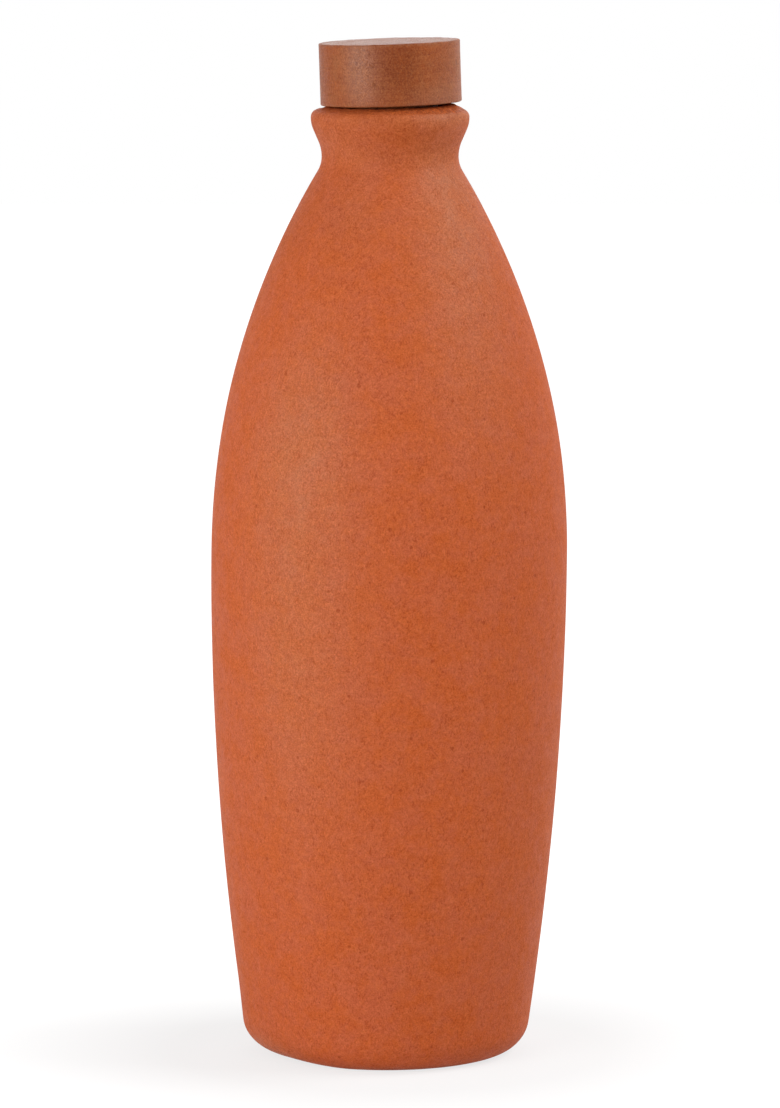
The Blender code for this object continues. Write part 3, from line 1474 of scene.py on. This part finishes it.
@dataclass
class SealRing:
    """A round rubber ring in a groove of the stem, with the fine seam of its mould."""

    name: str
    node: str
    axis: TurningAxis
    depth: float
    outer_radius: float = 0.013527
    section: float = 0.0026
    seam: float = 0.00006
    sides: int = 32
    steps: int = 144

    def profile(self) -> list[Vector]:
        """Draws the ring's section as a closed loop that starts and ends at the seam.

        Returns:
            The loop's points.
        """
        half = self.section / 2
        centre = Vector((self.outer_radius - half, -self.depth))
        loop = []
        for index in range(self.sides + 1):
            angle = math.tau * index / self.sides
            reach = half if index % self.sides else half + self.seam
            loop.append(centre + reach * Vector((math.cos(angle), math.sin(angle))))
        return loop

    def build(self) -> Piece:
        """Turns the ring about the stopper's axis."""
        return Workbench.turn(self.name, self.profile(), self.axis, self.steps)

    def dress(self, piece: Piece, finish: MilkySilicone) -> None:
        """Gives the ring its rubber and hangs it on its body in place of the plain solid.

        Args:
            piece: The finished ring.
            finish: Its rubber.
        """
        piece.data.materials.append(finish.material(self.axis))
        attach(piece, Body.SEAL_RINGS.value)
        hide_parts(self.node)


# Studio


@dataclass(frozen=True)
class Softbox:
    """A flat soft lamp that faces the bottle's middle.

    Azimuth 0 is the camera's side and 90 is the right. Strength is the lamp's radiance.
    """

    name: str
    azimuth: float
    elevation: float
    distance: float
    width: float
    height: float
    strength: float

    def hang(self, target: Vector) -> None:
        """Hangs the lamp round the target.

        Args:
            target: The point that the lamp faces.
        """
        around, above = math.radians(self.azimuth), math.radians(self.elevation)
        flat = math.cos(above)
        out = Vector((math.sin(around) * flat, -math.cos(around) * flat, math.sin(above)))
        data = bpy.data.lights.new(self.name, "AREA")
        data.shape = "RECTANGLE"
        data.size = self.width
        data.size_y = self.height
        data.energy = self.strength * math.pi * self.width * self.height
        lamp = bpy.data.objects.new(self.name, data)
        lamp.location = target + out * self.distance
        lamp.rotation_mode = "QUATERNION"
        lamp.rotation_quaternion = out.to_track_quat("Z", "Y")
        bpy.context.scene.collection.objects.link(lamp)


@dataclass
class Studio:
    """The pale floor and surroundings, the lamps and the camera."""

    pitch: float = math.radians(7.3)
    distance: float = 1.9152
    aim: Vector = Vector((-0.00003, 0, 0.1375))
    picture_height: float = 0.30315
    sensor: float = 36.0
    floor_size: float = 6.0
    floor_cuts: int = 8
    floor_bounce: float = 0.68
    shadow_depth: float = 0.25
    shadow_reach: Range = (0.06, 0.16)
    ambient: float = 0.32
    softboxes: tuple[Softbox, ...] = (
        Softbox("window_left", -54, 10, 1.2, 1.6, 1.0, 0.70),
        Softbox("lamp_front_left", -38, 8, 1.2, 0.7, 1.0, 3.42),
        Softbox("lamp_right", 86, 38, 1.2, 0.7, 0.7, 5.3),
        Softbox("lamp_behind", 180, 38, 1.2, 0.7, 0.7, 0.9),
    )

    def build(self) -> None:
        """Lays the floor, hangs the lamps, lights the surroundings and sets up the camera."""
        self.lay_floor()
        self.light_surroundings()
        for softbox in self.softboxes:
            softbox.hang(self.aim)
            log.info("lamp %s", softbox.name)
        self.set_camera()
        bpy.context.scene.view_settings.view_transform = "Standard"

    def lay_floor(self) -> None:
        """Lays a floor that the camera sees as white paper with the bottle's soft shadow."""
        bpy.ops.object.select_all(action="DESELECT")
        bpy.ops.mesh.primitive_plane_add(size=self.floor_size)
        floor = bpy.context.object
        floor.name = "floor"
        with Workbench.editing(floor):
            bpy.ops.mesh.select_all(action="SELECT")
            bpy.ops.mesh.subdivide(number_cuts=self.floor_cuts)
        floor.data.materials.append(self.paper())

    def paper(self) -> bpy.types.Material:
        """The floor's paper: white where seen, but for the bottle's shadow close round it.

        Returns:
            The material.
        """
        board = NodeBoard("paper")
        nodes, links = board.nodes, board.links
        nodes.remove(board.shader)
        outwards = nodes.new("ShaderNodeVectorMath")
        outwards.operation = "LENGTH"
        links.new(board.coordinates, outwards.inputs[0])
        whitening = (1 - self.shadow_depth, 1.0)
        glow = nodes.new("ShaderNodeEmission")
        strength = board.remap(outwards.outputs["Value"], self.shadow_reach, whitening)
        links.new(strength, glow.inputs["Strength"])
        seen, unseen = nodes.new("ShaderNodeBsdfDiffuse"), nodes.new("ShaderNodeBsdfDiffuse")
        board.feed(seen.inputs["Color"], (self.shadow_depth,) * 3)
        board.feed(unseen.inputs["Color"], (self.floor_bounce,) * 3)
        shown = nodes.new("ShaderNodeAddShader")
        links.new(seen.outputs[0], shown.inputs[0])
        links.new(glow.outputs[0], shown.inputs[1])
        self.show_to_eye(board.material, unseen, shown)
        return board.material

    def light_surroundings(self) -> None:
        """Fills the world with even light, white where the camera looks past the floor."""
        world = bpy.data.worlds.new("surroundings")
        bpy.context.scene.world = world
        world.use_nodes = True
        nodes = world.node_tree.nodes
        dim, white = nodes["Background"], nodes.new("ShaderNodeBackground")
        dim.inputs["Color"].default_value = (1, 1, 1, 1)
        dim.inputs["Strength"].default_value = self.ambient
        white.inputs["Color"].default_value = (1, 1, 1, 1)
        white.inputs["Strength"].default_value = 1.0
        self.show_to_eye(world, dim, white)

    @staticmethod
    def show_to_eye(
        owner: bpy.types.Material | bpy.types.World, unseen: bpy.types.Node, seen: bpy.types.Node
    ) -> None:
        """Shows one shader to camera, glossy and transmission rays, and another to all else.

        Args:
            owner: The material or world that holds the shaders.
            unseen: The shader that only lights the bottle.
            seen: The shader that is looked at, straight or in a reflection.
        """
        nodes, links = owner.node_tree.nodes, owner.node_tree.links
        rays = nodes.new("ShaderNodeLightPath")
        eye = rays.outputs[SeenBy.CAMERA.value]
        for kind in (SeenBy.GLOSSY, SeenBy.TRANSMISSION):
            either = nodes.new("ShaderNodeMath")
            either.operation = Operation.MAXIMUM.value
            links.new(eye, either.inputs[0])
            links.new(rays.outputs[kind.value], either.inputs[1])
            eye = either.outputs["Value"]
        choice = nodes.new("ShaderNodeMixShader")
        links.new(eye, choice.inputs[0])
        links.new(unseen.outputs[0], choice.inputs[1])
        links.new(seen.outputs[0], choice.inputs[2])
        output = next(node for node in nodes if node.type.startswith("OUTPUT"))
        links.new(choice.outputs[0], output.inputs["Surface"])

    def set_camera(self) -> None:
        """Stands the camera in front of the bottle, a little above, and makes it the scene's."""
        data = bpy.data.cameras.new("camera")
        data.sensor_width = self.sensor
        data.lens = self.sensor * self.distance / self.picture_height
        camera = bpy.data.objects.new("camera", data)
        back = Vector((0, -math.cos(self.pitch), math.sin(self.pitch)))
        camera.location = self.aim + back * self.distance
        camera.rotation_mode = "QUATERNION"
        camera.rotation_quaternion = back.to_track_quat("Z", "Y")
        bpy.context.scene.collection.objects.link(camera)
        bpy.context.scene.camera = camera


TERRACOTTA = FiredClay(
    name="thrown_terracotta",
    body=(0.611, 0.118, 0.023),
    second_tone=(0.596, 0.135, 0.059),
    bloom=(0.66, 0.20, 0.08),
    grit=(0.350, 0.042, 0.004),
    worn=(0.60, 0.130, 0.026),
    # The next three tones: chips, which also paint the shade on the rim; darkening, partly painted
    # shade; pale painted sheen.
    chipped_and_shaded=(0.30, 0.050, 0.008),
    stained_and_shaded=(0.40, 0.085, 0.016),
    sheen_and_polish_tone=(0.55, 0.225, 0.105),
    roughness=0.62,
    gloss=0.18,
    bloom_share=0.12,
    mottle=0.046,
    grain_contrast=0.123,
    speck_share=0.45,
    stain_share=0.38,
    burnish_share=0.36,
)
STOPPER_CLAY = FiredClay(
    name="smoothed_stopper_clay",
    body=(0.380, 0.084, 0.013),
    second_tone=(0.364, 0.098, 0.027),
    bloom=(0.40, 0.17, 0.07),
    grit=(0.17, 0.030, 0.004),
    worn=(0.36, 0.13, 0.06),
    # The next three tones: chips on the head's edges; darkening, partly painted shade; pale painted
    # sheen.
    chipped_and_shaded=(0.27, 0.07, 0.02),
    stained_and_shaded=(0.265, 0.056, 0.010),
    sheen_and_polish_tone=(0.40, 0.23, 0.16),
    roughness=0.42,
    gloss=0.21,
    bloom_share=0.3,
    mottle=0.040,
    grain_contrast=0.141,
    speck_share=0.41,
    stain_share=0.9,
    burnish_share=0.33,
    worn_and_shaded_share=0.7,
    burnish_polish=0.15,
    streaks=0.055,
)


def stopper_axis() -> TurningAxis:
    """Reads the stopper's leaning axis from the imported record's turning joint."""
    twist = next(joint for joint in frame["joints"] if joint["name"] == "stopper_twist")
    return TurningAxis(Vector(twist["pos_m"]), Vector(twist["axis"]).normalized())


def main() -> None:
    """Builds and dresses every piece, then the studio round them."""
    logging.basicConfig(level=logging.INFO, format="%(message)s")
    axis = stopper_axis()
    stopper = ClayStopper(axis)
    upper, lower = stopper.ring_depths
    rubber = MilkySilicone()
    for work, finish in (
        (ClayBottle(), TERRACOTTA),
        (stopper, STOPPER_CLAY),
        (SealRing("upper_rubber_ring", "upper_seal_ring", axis, upper), rubber),
        (SealRing("lower_rubber_ring", "lower_seal_ring", axis, lower), rubber),
    ):
        piece = work.build()
        work.dress(piece, finish)
        log.info("%s: %d faces", piece.name, len(piece.data.polygons))

    Studio().build()


if __name__ == "__main__":
    main()
